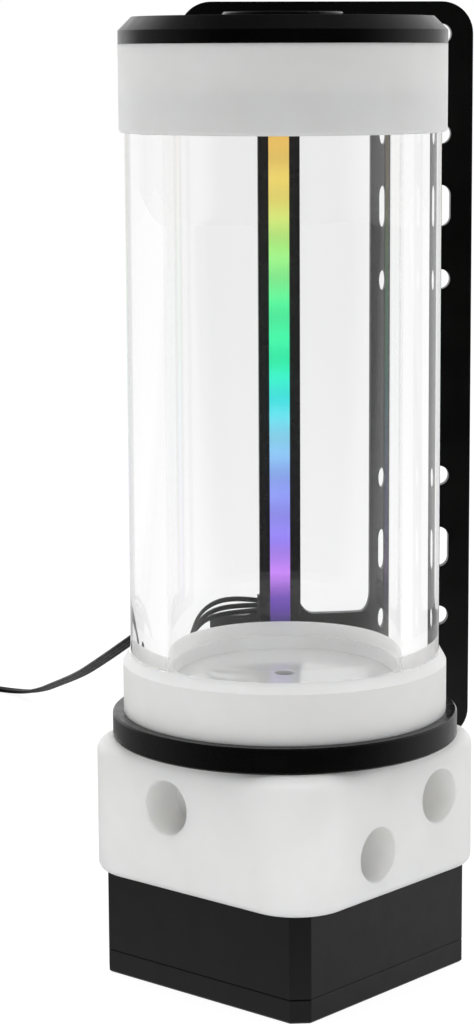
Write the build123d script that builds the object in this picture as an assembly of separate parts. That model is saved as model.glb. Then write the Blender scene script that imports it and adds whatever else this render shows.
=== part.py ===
from build123d import *
import os
from math import cos, pi, radians, sin, sqrt, tan

# Coolant pump and glass reservoir on a slotted fan plate, millimetres.
# Origin: tube axis at the underside of the base. +X runs along the plate,
# +Y points from the tube to the plate, +Z is up.

# Heights of the stack, from the surface it stands on
base_height = 5.8
housing_height = 20.1
block_height = 33.3
ring_height = 6.2
lower_collar_height = 14.6
tube_show_height = 124.7
upper_collar_height = 20.5
cap_height = 6.3

# Outlines
base_side = 65.36
base_corner_cut = 3.6
block_corner = 14.0
block_corner_cut = 1.69
square_turn = 45
tube_radius = 37.5
tube_wall = 9.0
lower_collar_rim = 1.8
upper_collar_rim = 1.3
ring_reach = 2.7

# Mounting plate
plate_ring_gap = 2.2
plate_thickness = 2.5
plate_bottom = 45.3
plate_height = 190.5
plate_left_reach = 22.6
plate_corner = 8.0
rail_centre = 43.6
rail_width = 16.0
bottom_bar_height = 35.2
top_bar_height = 23.8
window_corner = 5.0
rail_hole_radius = 2.55
rail_slot_length = 10.5
inner_pitch = 50.8
slot_pitch = 88.2
fan_pitch = 124.5
outer_pitch = 174.4

# Light bar
light_offset = 1.75
light_width = 12.7
light_depth = 4.5
light_bottom = 76.0
light_length = 140.0
strip_width = 6.2
strip_proud = 0.3
channel_back = 1.4
channel_side = 1.2
channel_lip = 0.8
board_inset = 0.4
light_board_thickness = 0.5
chip_size = 5.0
chip_height = 0.6
chip_pitch = 10.0
chip_count = 13
end_cap_length = 3.0

# Ports, G 1/4
port_radius = 6.58
port_depth = 11.0
port_drill_radius = 4.2
port_chamfer = 0.3
outlet_along = -8.8
outlet_height = 36.8
inlet_along = 14.7
inlet_height = 46.2
side_inlet_along = 6.15
side_inlet_height = 46.5

# Passages in the block and the lower collar
volute_radius = 17.5
volute_height = 8.5
eye_radius = 5.0
chamber_radius = 16.5
chamber_floor = 42.0
spigot_radius = 19.0
spigot_drop = 6.5
pocket_extra = 0.4
outlet_drill_end = 12.0
inlet_hole_radius = 2.55
inlet_hole_depth = 1.0
passage_radius = 6.0
floor_drop = 5.4
floor_lip_height = 3.4
floor_lip_wall = 1.0
socket_depth = 9.8
upper_boss_drop = 4.8
throat_radius = 13.5

# Pump
board_pocket_radius = 27.0
board_pocket_height = 3.7
ledge_radius = 23.5
ledge_height = 2.5
stator_pocket_radius = 25.3
flange_pocket_radius = 27.4
flange_thickness = 2.5
board_seat_height = 1.5
board_seat_width = 2.0
board_thickness = 1.6
board_hole_radius = 5.0
stator_yoke = 4.0
stator_height = 9.0
tooth_count = 6
tooth_width = 5.0
tooth_shoe = 1.4
tooth_shoe_width = 10.0
coil_wall = 1.9
coil_length = 4.2
cup_radius = 13.6
cup_wall = 1.3
cup_floor = 1.5
cup_bottom = 9.7
pin_radius = 1.6
pin_boss_radius = 3.2
pin_boss_height = 1.8
pin_rise = 4.0
rotor_gap = 0.7
rotor_lift = 0.3
magnet_wall = 4.1
magnet_length = 10.5
bush_wall = 1.4
shroud_radius = 15.2
shroud_thickness = 1.5
shroud_clear = 0.3
vane_height = 5.2
vane_thickness = 1.2
vane_count = 6
vane_start_radius = 5.2
vane_sweep = 55
cable_hole_radius = 3.0
cable_hole_height = 10.6
grommet_wall = 1.2
grommet_flange = 1.0
grommet_flange_wall = 1.6

# Fill plug
plug_radius = 14.2
plug_proud = 1.05
plug_sink = 1.6
plug_thread_radius = 12.0
plug_thread_length = 4.4
plug_neck_height = 1.9
plug_slot_width = 2.4
plug_slot_depth = 1.1
plug_slot_turn = -63
plug_edge = 0.35

# Fasteners
m4_radius = 2.0
m4_head_radius = 3.6
m4_head_height = 2.4
m3_radius = 1.5
m3_head_radius = 2.75
m3_head_height = 2.4
m2_radius = 1.0
m2_head_radius = 1.9
head_rim = 0.25
socket_share = 0.5
socket_depth_share = 0.6
base_screw_inset = 6.9
base_screw_grip = 8.0
ring_screw_circle = 30.0
ring_screw_grip = 6.0
cap_screw_inset = 7.8
cap_screw_grip = 6.5
cap_screw_count = 6
plate_screw_spread = 3.4
plate_screw_grip = 8.0
spacer_spread = 11.0
spacer_radius = 3.5
spacer_sink = 2.4
collar_screw_grip = 7.5
channel_screw_count = 3

# Seals
seal_radius = 1.0
cup_seal_circle = 21.5
cap_seal_circle = 20.5
plug_seal_radius = 0.85

# Edges
block_top_round = 3.5
block_bottom_round = 2.2
base_edge = 0.5
seam_edge = 0.2
ring_edge = 0.4
collar_chamfer_height = 2.5
collar_land = 0.25
upper_collar_round = 0.8
cap_chamfer = 3.2
tube_edge = 0.5

# Clearances
thread_fit = 0.06
slip_fit = 0.2
running_fit = 0.05
screw_clear = 0.3
seal_gap = 0.05
head_sink = 0.2
overrun = 1.0

# Flat three-wire lead of the light bar
lead_diameter = 3.9
lead_exit_height = 83.5
relief_height = 5.6
relief_proud = 0.8
coil_inner_radius = 19.5
coil_outer_radius = 25.0
coil_height = 5.4
plug_body_width = 8.4
plug_body_height = 3.6
plug_body_length = 12.0
plug_pin_width = 1.0
plug_pin_length = 6.0
plug_pin_recess = 0.6
plug_pin_pitch = 2.54
plug_floor_gap = 0.15
plug_body_edge = 0.4

# Levels worked out from the stack
housing_low = base_height
block_low = housing_low + housing_height
block_high = block_low + block_height
ring_high = block_high + ring_height
tube_show_low = ring_high + lower_collar_height
tube_show_high = tube_show_low + tube_show_height
upper_collar_high = tube_show_high + upper_collar_height
cap_high = upper_collar_high + cap_height
tube_low = tube_show_low - socket_depth
tube_high = tube_show_high + socket_depth
tube_bore = tube_radius - tube_wall
floor_level = tube_show_low - floor_drop
boss_radius = tube_bore - slip_fit
lower_collar_radius = tube_radius + lower_collar_rim
upper_collar_radius = tube_radius + upper_collar_rim
ring_radius = lower_collar_radius + ring_reach
cap_screw_circle = upper_collar_radius - cap_screw_inset
spacer_seat = upper_collar_radius - spacer_sink

# The block's back corner reaches past the plate's face and is cut flat there
plate_distance = ring_radius + plate_ring_gap
block_corner_reach = plate_distance + block_corner_cut
block_side = (block_corner_reach + block_corner * (sqrt(2) - 1)) * sqrt(2)
plate_top = plate_bottom + plate_height
plate_middle = plate_bottom + plate_height / 2
plate_back = plate_distance + plate_thickness
plate_right = rail_centre + rail_width / 2
window_low = plate_bottom + bottom_bar_height
window_high = plate_top - top_bar_height
spine_left = light_offset - light_width / 2
spine_right = light_offset + light_width / 2
rail_left = rail_centre - rail_width / 2
light_front = plate_distance - light_depth
light_top = light_bottom + light_length
base_screw_place = base_side / 2 - base_screw_inset
plate_screw_height = (plate_bottom + block_high) / 2
collar_screw_height = (tube_high + upper_collar_high) / 2
ledge_top = housing_low + board_pocket_height + ledge_height
volute_top = block_low + volute_height
pin_floor = cup_bottom + cup_floor
rotor_low = pin_floor + pin_boss_height + rotor_lift
rotor_radius = cup_radius - cup_wall - rotor_gap
hub_radius = rotor_radius - magnet_wall
shroud_low = block_low + shroud_clear
shroud_high = shroud_low + shroud_thickness
vane_top = shroud_high + vane_height
bush_bore = pin_radius + running_fit
bush_radius = bush_bore + bush_wall
pocket_floor = block_high - spigot_drop - pocket_extra
block_half = block_side / 2
plug_seat = cap_high - plug_sink
plug_neck_radius = plug_thread_radius - plug_seal_radius
lead_exit = (spine_left - relief_proud, plate_distance - light_depth / 2, lead_exit_height)

# Route of the lead, from the relief down behind the object to the coil.
# These points are chosen by hand and lie on the middle of the flat lead.
lead_route = [
    lead_exit,
    (-14.5, 41.95, 83.5),
    (-24.0, 41.2, 81.6),
    (-31.5, 46.5, 76.2),
    (-36.4, 59.5, 69.8),
    (-40.6, 78.0, 62.6),
    (-44.6, 104.0, 54.0),
    (-48.6, 140.0, 43.2),
    (-53.0, 184.0, 31.2),
    (-57.6, 229.0, 19.2),
    (-62.4, 268.0, 9.0),
    (-69.5, 296.0, 2.4),
    (-87.0, 309.5, 2.05),
    (-108.0, 311.7, 2.05),
]
lead_coil_centre = (-108.0, 338.75)


def column(radius, low, high, x=0, y=0):
    """An upright cylinder between two levels."""
    return Pos(x, y, (low + high) / 2) * Cylinder(radius, high - low)


def sleeve(outer, inner, low, high, x=0, y=0):
    """An upright tube between two levels."""
    return column(outer, low, high, x, y) - column(inner, low - overrun, high + overrun, x, y)


def slab(x_low, x_high, y_low, y_high, z_low, z_high):
    """A box between two corners."""
    middle = Pos((x_low + x_high) / 2, (y_low + y_high) / 2, (z_low + z_high) / 2)
    return middle * Box(x_high - x_low, y_high - y_low, z_high - z_low)


def turned_prism(outline, low, high):
    """A square outline raised between two levels, corner-on to the plate."""
    return Pos(0, 0, low) * Rot(0, 0, square_turn) * extrude(outline, high - low)


def base_outline():
    """The base and the housing have flat-cut corners."""
    square = Rectangle(base_side, base_side)
    return chamfer(square.vertices(), base_corner_cut)


def corner_places():
    """Where the four long screws stand, in the turned square."""
    for sx in (-1, 1):
        for sy in (-1, 1):
            place = Vector(sx * base_screw_place, sy * base_screw_place, 0)
            yield place.rotate(Axis.Z, square_turn)


def circle_places(radius, count, start=0):
    """Evenly spaced places on a circle about the tube axis."""
    for step in range(count):
        angle = radians(start + 360 * step / count)
        yield radius * cos(angle), radius * sin(angle)


def top_edges(solid):
    return solid.faces().sort_by(Axis.Z)[-1].outer_wire().edges()


def bottom_edges(solid):
    return solid.faces().sort_by(Axis.Z)[0].outer_wire().edges()


def upright_screw(radius, head_radius, head_height, length, facing=1):
    """A socket screw whose head's seat is at the origin, head towards +Z or -Z."""
    socket_radius = head_radius * socket_share
    socket_deep = head_height * socket_depth_share
    head = column(head_radius, 0, head_height)
    head = chamfer(top_edges(head), head_sink)
    socket = Pos(0, 0, head_height - socket_deep) * extrude(
        RegularPolygon(socket_radius, 6), socket_deep + overrun)
    screw = head + column(radius, -length, 0) - socket
    return screw if facing > 0 else Rot(180, 0, 0) * screw


def sunk_head(radius, head_radius, spare, top):
    """A countersunk head or the seat for one, below a plate's face at level zero."""
    slope = head_radius - radius
    middle = Pos(0, 0, -head_rim - slope / 2)
    cone = middle * Cone(radius + spare, head_radius + spare, slope)
    return cone + column(head_radius + spare, -head_rim, top)


def behind_plate(shape, x, z):
    """Turns a shape that is built upright so that it goes into the plate's back."""
    return Pos(x, plate_back, z) * Rot(-90, 0, 0) * shape


def sunk_screw(radius, head_radius, length, x, z):
    """A countersunk screw put in from behind, flush with the plate's back."""
    socket_deep = (head_rim + head_radius - radius) * socket_depth_share
    socket = Pos(0, 0, -socket_deep) * extrude(
        RegularPolygon(head_radius * socket_share, 6), socket_deep + overrun)
    screw = sunk_head(radius, head_radius, 0, -seal_gap) + column(radius, -length, -head_rim)
    return behind_plate(screw - socket, x, z)


def sunk_seat(radius, head_radius, x, z):
    """The hole in the plate for a countersunk screw."""
    seat = sunk_head(radius, head_radius, running_fit, overrun)
    seat += column(radius + screw_clear, -plate_thickness - overrun, 0)
    return behind_plate(seat, x, z)


def back_hole(radius, y_low, y_high, x, z):
    """A round hole along Y."""
    return Pos(x, (y_low + y_high) / 2, z) * Rot(90, 0, 0) * Cylinder(radius, y_high - y_low)


def face_hole(turn, along, height, radius, deep_to, shallow_to=None):
    """A round hole square to one flat of the block, between two distances from the axis."""
    start = block_half + overrun if shallow_to is None else shallow_to
    hole = Cylinder(radius, start - deep_to)
    laid = Pos((start + deep_to) / 2, along, height) * Rot(0, 90, 0) * hole
    return Rot(0, 0, turn) * laid


def seal(circle, cord, height):
    """An O-ring about the tube axis."""
    return Pos(0, 0, height) * Torus(circle, cord)


def seal_groove(circle, cord, height):
    """Room for an O-ring, a plain ring cut."""
    half = cord + seal_gap
    return sleeve(circle + half, circle - half, height - half, height + half)


def make_base_plate():
    plate = turned_prism(base_outline(), 0, base_height)
    plate = chamfer(bottom_edges(plate), base_edge)
    plate = chamfer(top_edges(plate), seam_edge)
    seat_outer = board_pocket_radius - slip_fit
    plate += sleeve(seat_outer, seat_outer - board_seat_width,
                    base_height, base_height + board_seat_height)
    recess = m4_head_height + head_sink
    for place in corner_places():
        plate -= column(m4_radius + screw_clear, -overrun, base_height + overrun, place.X, place.Y)
        plate -= column(m4_head_radius + screw_clear, -overrun, recess, place.X, place.Y)
    return plate


def make_base_screws():
    seat = m4_head_height + head_sink
    length = block_low + base_screw_grip - seat
    screw = upright_screw(m4_radius, m4_head_radius, m4_head_height, length, facing=-1)
    return [Pos(place.X, place.Y, seat) * screw for place in corner_places()]


def make_pump_housing():
    housing = turned_prism(base_outline(), housing_low, block_low)
    housing = chamfer(bottom_edges(housing), seam_edge)
    housing -= column(board_pocket_radius, housing_low - overrun, housing_low + board_pocket_height)
    housing -= column(ledge_radius, housing_low, ledge_top + overrun)
    housing -= column(stator_pocket_radius, ledge_top, block_low + overrun)
    housing -= column(flange_pocket_radius, block_low - flange_thickness, block_low + overrun)
    for place in corner_places():
        housing -= column(m4_radius + screw_clear, 0, block_low + overrun, place.X, place.Y)
    housing -= face_hole(square_turn, 0, cable_hole_height,
                         cable_hole_radius, board_pocket_radius - overrun)
    return housing


def make_cable_grommet():
    """Soft sleeve in the cable hole at the back, empty here."""
    outside = base_side / 2
    flange_face = outside + grommet_flange
    body = face_hole(square_turn, 0, cable_hole_height, cable_hole_radius - running_fit,
                     board_pocket_radius + slip_fit, outside)
    flange = face_hole(square_turn, 0, cable_hole_height, cable_hole_radius + grommet_flange_wall,
                       outside, flange_face)
    bore = face_hole(square_turn, 0, cable_hole_height, cable_hole_radius - grommet_wall,
                     board_pocket_radius - overrun, flange_face + overrun)
    return body + flange - bore


def make_motor_board():
    low = base_height + board_seat_height
    return sleeve(board_pocket_radius - slip_fit, board_hole_radius, low, low + board_thickness)


def tooth_box(width, x_low, x_high, z_low, z_high):
    return slab(x_low, x_high, -width / 2, width / 2, z_low, z_high)


def make_stator_core():
    outer = stator_pocket_radius - slip_fit
    inner_face = cup_radius + slip_fit
    low, high = ledge_top, ledge_top + stator_height
    core = sleeve(outer, outer - stator_yoke, low, high)
    limit = sleeve(outer - slip_fit, inner_face, low - overrun, high + overrun)
    shoe_end = inner_face + tooth_shoe
    tooth = tooth_box(tooth_width, 0, outer - slip_fit, low, high)
    tooth += tooth_box(tooth_shoe_width, 0, shoe_end, low, high)
    for step in range(tooth_count):
        core += Rot(0, 0, 360 * step / tooth_count) * (tooth & limit)
    return core


def make_stator_coils():
    """One winding on each tooth."""
    start = cup_radius + 2 * slip_fit + tooth_shoe
    end = start + coil_length
    low, high = ledge_top, ledge_top + stator_height
    coil = tooth_box(tooth_width + 2 * coil_wall, start, end, low - coil_wall, high + coil_wall)
    coil = fillet(coil.edges().filter_by(Axis.X), coil_wall - seal_gap)
    gap = tooth_width + 2 * running_fit
    coil -= tooth_box(gap, start - overrun, end + overrun, low - running_fit, high + running_fit)
    return [Rot(0, 0, 360 * step / tooth_count) * coil for step in range(tooth_count)]


def make_rotor_cup():
    """Wet cup that keeps the coolant out of the stator."""
    cup = column(cup_radius, cup_bottom, block_low)
    cup += column(flange_pocket_radius - slip_fit, block_low - flange_thickness, block_low)
    cup -= column(cup_radius - cup_wall, pin_floor, block_low + overrun)
    cup += column(pin_boss_radius, pin_floor, pin_floor + pin_boss_height)
    cup -= column(pin_radius, pin_floor, pin_floor + pin_boss_height + overrun)
    return cup


def make_bearing_pin():
    pin = column(pin_radius, pin_floor, vane_top - pin_rise)
    return chamfer(top_edges(pin), running_fit * 4)


def vane():
    """One swept vane, a thin arc that leans back to the shroud's rim."""
    middle_height = shroud_high + vane_height / 2
    start = Vector(vane_start_radius, 0, middle_height)
    half_way = Vector((vane_start_radius + shroud_radius) / 2, 0, middle_height)
    end = Vector(shroud_radius - slip_fit, 0, middle_height)
    spine = ThreePointArc(start, half_way.rotate(Axis.Z, -vane_sweep / 3),
                          end.rotate(Axis.Z, -vane_sweep))
    side = Plane(origin=start, x_dir=Vector(0, 0, 1), z_dir=spine % 0)
    return sweep(side * Rectangle(vane_height, vane_thickness), path=spine)


def make_impeller():
    hub_top = rotor_low + magnet_length
    wheel = column(hub_radius, rotor_low, hub_top)
    wheel += column(rotor_radius, hub_top, shroud_low)
    wheel += column(shroud_radius, shroud_low, shroud_high)
    wheel += column(bush_radius + vane_thickness, shroud_high, vane_top - pin_rise + vane_thickness)
    blade = vane()
    for step in range(vane_count):
        wheel += Rot(0, 0, 360 * step / vane_count) * blade
    wheel -= column(bush_radius + running_fit, 0, shroud_high)
    wheel -= column(bush_bore + running_fit, 0, cap_high)
    return wheel


def make_rotor_magnet():
    return sleeve(rotor_radius, hub_radius + running_fit, rotor_low, rotor_low + magnet_length)


def make_impeller_bush():
    return sleeve(bush_radius, bush_bore, rotor_low, shroud_high)


def make_cup_seal():
    return seal(cup_seal_circle, seal_radius, block_low + seal_radius + seal_gap)


def make_pump_block():
    """Milled block with the volute, the suction chamber and three threaded ports."""
    outline = RectangleRounded(block_side, block_side, block_corner)
    block = turned_prism(outline, block_low, block_high)
    block = fillet(top_edges(block), block_top_round)
    block = fillet(bottom_edges(block), block_bottom_round)
    block -= slab(-block_side, block_side, plate_distance, block_side, 0, cap_high)
    block -= column(volute_radius, block_low - overrun, volute_top)
    block -= column(eye_radius, block_low, chamber_floor + overrun)
    block -= column(chamber_radius, chamber_floor, block_high + overrun)
    block -= column(spigot_radius + thread_fit, pocket_floor, block_high + overrun)
    block -= seal_groove(cup_seal_circle, seal_radius, block_low + seal_radius + seal_gap)
    port_end = block_half - port_depth
    right, left = -square_turn, 180 + square_turn
    ports = [
        (right, outlet_along, outlet_height, outlet_drill_end),
        (right, inlet_along, inlet_height, 0),
        (left, -side_inlet_along, side_inlet_height, 0),
    ]
    for turn, along, height, drill_end in ports:
        block -= face_hole(turn, along, height, port_radius, port_end)
        block -= face_hole(turn, along, height, port_drill_radius, drill_end)
        mouth = Cone(port_radius, port_radius + 2 * port_chamfer, 2 * port_chamfer)
        laid = Pos(block_half, along, height) * Rot(0, 90, 0) * mouth
        block -= Rot(0, 0, turn) * laid
    for place in corner_places():
        block -= column(m4_radius + thread_fit, block_low - overrun,
                        block_low + base_screw_grip + overrun, place.X, place.Y)
    for x, y in circle_places(ring_screw_circle, 4):
        block -= column(m3_radius + thread_fit, block_high - ring_screw_grip - overrun,
                        block_high + overrun, x, y)
    for side in (-1, 1):
        block -= back_hole(m3_radius + thread_fit, plate_distance - plate_screw_grip - overrun,
                           plate_distance + overrun, side * plate_screw_spread, plate_screw_height)
    return block


def make_lock_ring():
    """Metal ring that carries the collar's thread."""
    ring = column(ring_radius, block_high, ring_high)
    ring = chamfer(top_edges(ring), ring_edge)
    ring = chamfer(bottom_edges(ring), ring_edge)
    ring -= column(spigot_radius + thread_fit, block_high - overrun, ring_high + overrun)
    for x, y in circle_places(ring_screw_circle, 4):
        ring -= column(m3_radius + screw_clear, block_high - overrun, ring_high + overrun, x, y)
        ring -= column(m3_head_radius + screw_clear,
                       ring_high - m3_head_height - head_sink, ring_high + overrun, x, y)
    return ring


def make_ring_screws():
    seat = ring_high - m3_head_height - head_sink
    length = seat - block_high + ring_screw_grip
    screw = upright_screw(m3_radius, m3_head_radius, m3_head_height, length)
    return [Pos(x, y, seat) * screw for x, y in circle_places(ring_screw_circle, 4)]


def spigot_seal_height():
    return (pocket_floor + block_high) / 2


def make_spigot_seal():
    circle = spigot_radius - seal_radius
    return seal(circle, seal_radius, spigot_seal_height())


def make_lower_collar():
    """Floor of the reservoir, with the tube socket and the threaded spigot."""
    collar = column(lower_collar_radius, ring_high, tube_show_low)
    socket_radius = tube_radius + slip_fit
    slope = lower_collar_radius - socket_radius - collar_land
    edge = top_edges(collar)
    collar = chamfer(edge, collar_chamfer_height, slope,
                     reference=collar.faces().filter_by(GeomType.CYLINDER)[0])
    collar -= sleeve(socket_radius, boss_radius, tube_low, tube_show_low + overrun)
    collar -= column(boss_radius + overrun, floor_level + floor_lip_height,
                     tube_show_low + overrun)
    collar -= column(boss_radius - floor_lip_wall, floor_level, tube_show_low + overrun)
    collar += column(spigot_radius, block_high - spigot_drop, ring_high)
    collar -= seal_groove(boss_radius - seal_radius + slip_fit, seal_radius, tube_seal_low())
    collar -= seal_groove(spigot_radius - seal_radius, seal_radius, spigot_seal_height())
    collar -= column(inlet_hole_radius, block_low, cap_high)
    collar -= column(passage_radius, block_low, floor_level - inlet_hole_depth)
    return collar


def tube_seal_low():
    return (tube_low + floor_level) / 2


def tube_seal_high():
    return (tube_high + tube_high - upper_boss_drop) / 2


def make_tube_seal(height):
    return seal(tube_bore - seal_radius - seal_gap, seal_radius, height)


def make_glass_tube():
    tube = sleeve(tube_radius, tube_bore, tube_low, tube_high)
    return chamfer(tube.edges().filter_by(GeomType.CIRCLE), tube_edge)


def collar_screw_places():
    for side in (-1, 1):
        yield light_offset + side * spacer_spread


def make_upper_collar():
    collar = column(upper_collar_radius, tube_show_high, upper_collar_high)
    collar = fillet(bottom_edges(collar), upper_collar_round)
    collar -= column(tube_radius + slip_fit, tube_show_high - overrun, tube_high)
    collar += column(boss_radius, tube_high - upper_boss_drop, tube_high)
    collar -= seal_groove(boss_radius - seal_radius + slip_fit, seal_radius, tube_seal_high())
    collar -= column(throat_radius, tube_show_low, cap_high)
    collar -= seal_groove(cap_seal_circle, seal_radius, upper_collar_high - seal_radius - seal_gap)
    for x, y in circle_places(cap_screw_circle, cap_screw_count):
        collar -= column(m3_radius + thread_fit, upper_collar_high - cap_screw_grip - seal_gap,
                         upper_collar_high + overrun, x, y)
    for x in collar_screw_places():
        collar -= back_hole(spacer_radius + running_fit, spacer_seat, plate_back,
                            x, collar_screw_height)
        collar -= back_hole(m3_radius + thread_fit, spacer_seat - collar_screw_grip - overrun,
                            plate_back, x, collar_screw_height)
    return collar


def make_cap_seal():
    return seal(cap_seal_circle, seal_radius, upper_collar_high - seal_radius - seal_gap)


def make_top_cap():
    cap = column(upper_collar_radius, upper_collar_high, cap_high)
    cap = chamfer(top_edges(cap), cap_chamfer)
    cap -= column(plug_radius + slip_fit, plug_seat, cap_high + overrun)
    cap -= column(plug_thread_radius + running_fit, upper_collar_high - overrun, cap_high)
    pocket = plug_neck_radius + 2 * plug_seal_radius + 2 * slip_fit
    cap -= column(pocket, plug_seat - plug_neck_height, plug_seat + overrun)
    for x, y in circle_places(cap_screw_circle, cap_screw_count):
        cap -= column(m3_radius + screw_clear, upper_collar_high - overrun, cap_high + overrun, x, y)
        cap -= column(m3_head_radius + screw_clear,
                      cap_high - m3_head_height - head_sink, cap_high + overrun, x, y)
    return cap


def make_cap_screws():
    seat = cap_high - m3_head_height - head_sink
    length = seat - upper_collar_high + cap_screw_grip
    screw = upright_screw(m3_radius, m3_head_radius, m3_head_height, length)
    return [Pos(x, y, seat) * screw for x, y in circle_places(cap_screw_circle, cap_screw_count)]


def make_fill_plug():
    """Coin-slot plug over the filling hole."""
    plug = column(plug_radius, plug_seat, cap_high + plug_proud)
    plug = chamfer(top_edges(plug), plug_edge)
    plug += column(plug_neck_radius, plug_seat - plug_neck_height, plug_seat)
    plug += column(plug_thread_radius, plug_seat - plug_thread_length, plug_seat - plug_neck_height)
    slot_floor = cap_high + plug_proud - plug_slot_depth
    slot = slab(-plug_radius - overrun, plug_radius + overrun, -plug_slot_width / 2,
                plug_slot_width / 2, slot_floor, cap_high + plug_proud + overrun)
    return plug - Rot(0, 0, plug_slot_turn) * slot


def make_plug_seal():
    circle = plug_neck_radius + plug_seal_radius + seal_gap
    return seal(circle, plug_seal_radius, plug_seat - plug_seal_radius - seal_gap)


def plate_shape(x_low, x_high, z_low, z_high, corner):
    """A flat rounded rectangle in the plate's plane, as thick as the plate."""
    outline = RectangleRounded(x_high - x_low, z_high - z_low, corner)
    shape = extrude(outline, plate_thickness)
    place = Pos((x_low + x_high) / 2, plate_back, (z_low + z_high) / 2)
    return place * Rot(90, 0, 0) * shape


def plate_cut(x_low, x_high, z_low, z_high, corner):
    """A rounded cut that runs past both faces of the plate."""
    outline = RectangleRounded(x_high - x_low, z_high - z_low, corner)
    shape = extrude(outline, plate_thickness + 2 * overrun)
    place = Pos((x_low + x_high) / 2, plate_back + overrun, (z_low + z_high) / 2)
    return place * Rot(90, 0, 0) * shape


def channel_screw_heights():
    step = light_length / channel_screw_count
    return [light_bottom + step * (index + 1 / 2) for index in range(channel_screw_count)]


def make_mounting_plate():
    """Fan plate: two bars, the spine behind the light bar and one slotted rail."""
    plate = plate_shape(-plate_left_reach, plate_right, plate_bottom, plate_top, plate_corner)
    plate -= plate_cut(spine_right, rail_left, window_low, window_high, window_corner)
    plate -= plate_cut(-2 * plate_left_reach, spine_left, window_low, window_high, window_corner)
    past = plate_back + overrun
    before = plate_distance - overrun
    for pitch in (inner_pitch, fan_pitch, outer_pitch):
        for side in (-1, 1):
            plate -= back_hole(rail_hole_radius, before, past, rail_centre,
                               plate_middle + side * pitch / 2)
    slot = extrude(SlotOverall(rail_slot_length, 2 * rail_hole_radius), past - before)
    for side in (-1, 1):
        place = Pos(rail_centre, past, plate_middle + side * slot_pitch / 2)
        plate -= place * Rot(90, 0, 0) * Rot(0, 0, 90) * slot
    for side in (-1, 1):
        plate -= sunk_seat(m3_radius, m3_head_radius, side * plate_screw_spread, plate_screw_height)
    for x in collar_screw_places():
        plate -= sunk_seat(m3_radius, m3_head_radius, x, collar_screw_height)
    for z in channel_screw_heights():
        plate -= sunk_seat(m2_radius, m2_head_radius, light_offset, z)
    return plate


def make_block_plate_screws():
    length = plate_thickness + plate_screw_grip
    return [sunk_screw(m3_radius, m3_head_radius, length,
                       side * plate_screw_spread, plate_screw_height) for side in (-1, 1)]


def make_plate_spacers():
    spacers = []
    for x in collar_screw_places():
        body = back_hole(spacer_radius, spacer_seat, plate_distance, x, collar_screw_height)
        bore = back_hole(m3_radius + screw_clear, 0, plate_back, x, collar_screw_height)
        spacers.append(body - bore)
    return spacers


def make_collar_plate_screws():
    length = plate_back - spacer_seat + collar_screw_grip
    return [sunk_screw(m3_radius, m3_head_radius, length, x, collar_screw_height)
            for x in collar_screw_places()]


def light_slab(width, y_low, y_high, z_low, z_high):
    """A box that is centred on the light bar."""
    half = width / 2
    return slab(light_offset - half, light_offset + half, y_low, y_high, z_low, z_high)


def cavity_back():
    return plate_distance - channel_back


def make_light_channel():
    """Black extrusion with a slot in front for the diffuser."""
    inner = light_width - 2 * channel_side
    channel = light_slab(light_width, light_front, plate_distance, light_bottom, light_top)
    channel -= light_slab(inner, light_front + channel_lip, cavity_back(),
                          light_bottom - overrun, light_top + overrun)
    channel -= light_slab(strip_width + 2 * running_fit, light_front - overrun, cavity_back(),
                          light_bottom - overrun, light_top + overrun)
    for z in channel_screw_heights():
        channel -= back_hole(m2_radius + thread_fit, light_front, plate_back, light_offset, z)
    notch_half = relief_height / 2
    channel -= slab(spine_left - overrun, spine_left + channel_side + overrun,
                    light_front + channel_lip, cavity_back(),
                    lead_exit_height - notch_half, lead_exit_height + notch_half)
    return channel


def inner_span():
    return light_bottom + end_cap_length, light_top - end_cap_length


def make_light_board():
    low, high = inner_span()
    width = light_width - 2 * channel_side - 2 * board_inset
    return light_slab(width, cavity_back() - light_board_thickness, cavity_back(), low, high)


def make_light_chips():
    back = cavity_back() - light_board_thickness
    start = light_bottom + light_length / 2 - chip_pitch * (chip_count - 1) / 2
    chips = []
    for index in range(chip_count):
        z = start + chip_pitch * index
        chips.append(light_slab(chip_size, back - chip_height, back,
                                z - chip_size / 2, z + chip_size / 2))
    return chips


def make_light_diffuser():
    """Opal strip with a stepped back that the channel's lips hold."""
    low, high = inner_span()
    lip_back = light_front + channel_lip
    flange = light_width - 2 * channel_side - 2 * board_inset
    face = light_slab(strip_width, light_front - strip_proud, lip_back, low, high)
    face = fillet(face.faces().sort_by(Axis.Y)[0].edges().filter_by(Axis.Z), strip_proud)
    return face + light_slab(flange, lip_back, lip_back + light_board_thickness, low, high)


def make_light_end_caps():
    inner = light_width - 2 * channel_side - 2 * running_fit
    caps = []
    for low in (light_bottom, light_top - end_cap_length):
        high = low + end_cap_length
        cap = light_slab(inner, light_front + channel_lip + running_fit,
                         cavity_back() - running_fit, low, high)
        cap += light_slab(strip_width, light_front, light_front + 2 * channel_lip, low, high)
        caps.append(cap)
    return caps


def make_channel_screws():
    length = plate_thickness + channel_back
    return [sunk_screw(m2_radius, m2_head_radius, length, light_offset, z)
            for z in channel_screw_heights()]


def make_lead_relief():
    """Small rubber bush in the channel's side, where the lead comes out."""
    half = relief_height / 2 - running_fit
    return slab(spine_left - relief_proud, spine_left + channel_side,
                light_front + channel_lip + running_fit, cavity_back() - running_fit,
                lead_exit_height - half, lead_exit_height + half)


def route_radii(points):
    """Each arc takes 0.45 of its shorter run."""
    radii = []
    run_share = 0.45
    for before, here, after in zip(points, points[1:], points[2:]):
        first, second = here - before, after - here
        turn = radians(first.get_angle(second))
        radii.append(run_share * min(first.length, second.length) / tan(turn / 2))
    return radii


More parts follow.
